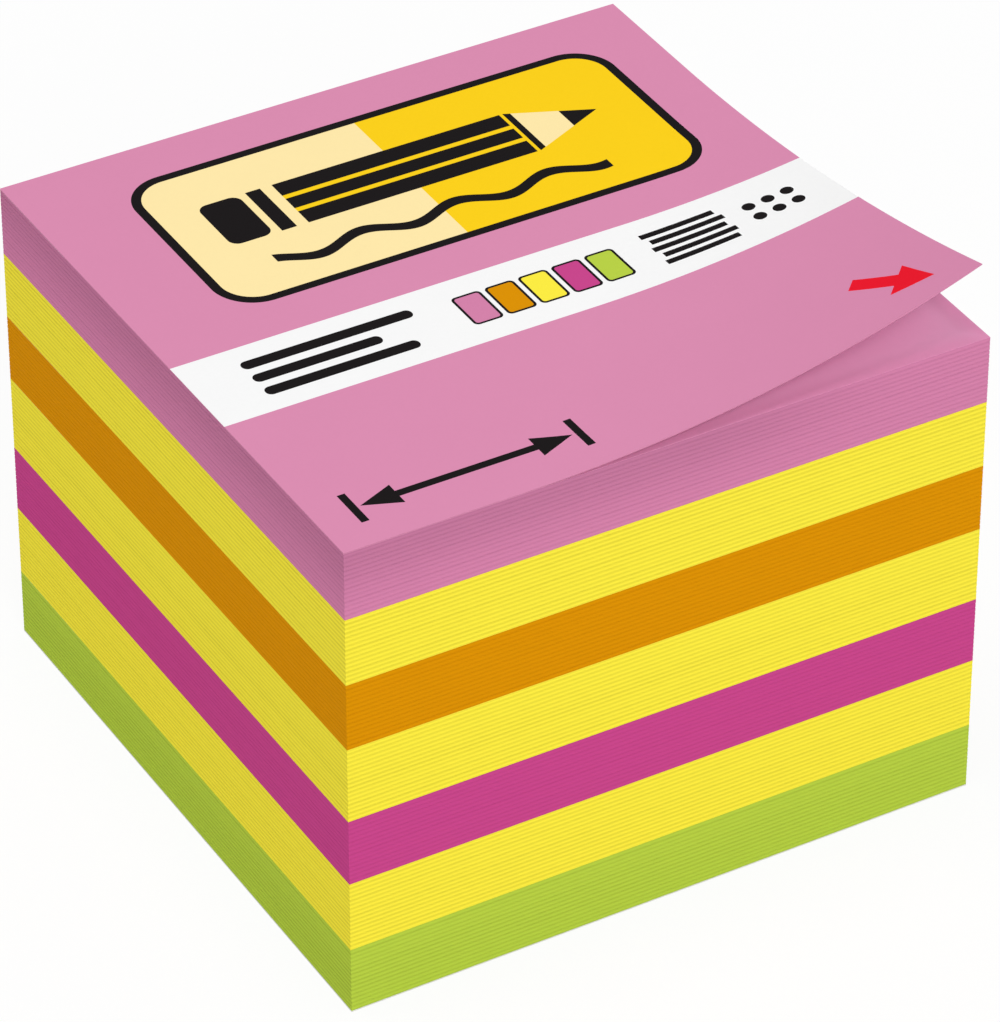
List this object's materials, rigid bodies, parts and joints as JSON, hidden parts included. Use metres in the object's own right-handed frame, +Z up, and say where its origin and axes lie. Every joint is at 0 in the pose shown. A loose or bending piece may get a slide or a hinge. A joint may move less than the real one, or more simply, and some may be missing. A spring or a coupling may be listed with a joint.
{
  "type": "sticky note pad",
  "caption": "Square block of sticky notes in bands of bright colour, glued along the back edge, with a printed cover sheet whose front corner curls up.",
  "frame": {"origin": "middle of the underside of the backing sheet, the face that the pad stands on", "axes": "+X along the free front edge, left to right as the cover is read; +Y towards the glued back edge; +Z up through the stack"},
  "size_m": [0.076, 0.076, 0.0676],
  "materials": {
    "cover_paper": "matt, printed on top",
    "pink_paper": "matt",
    "yellow_paper": "matt",
    "orange_paper": "matt",
    "magenta_paper": "matt",
    "green_paper": "matt",
    "backing_paper": "matt",
    "glue": "clear, low tack"
  },
  "bodies": {
    "root": {"cover_sheet": "cover_paper", "pink_notes": "pink_paper", "upper_yellow_notes": "yellow_paper", "orange_notes": "orange_paper", "middle_yellow_notes": "yellow_paper", "magenta_notes": "magenta_paper", "lower_yellow_notes": "yellow_paper", "green_notes": "green_paper", "backing_sheet": "backing_paper", "glue_under_cover": "glue", "glue_under_pink": "glue", "glue_under_upper_yellow": "glue", "glue_under_orange": "glue", "glue_under_middle_yellow": "glue", "glue_under_magenta": "glue", "glue_under_lower_yellow": "glue", "glue_under_green": "glue"}
  },
  "joints": []
}
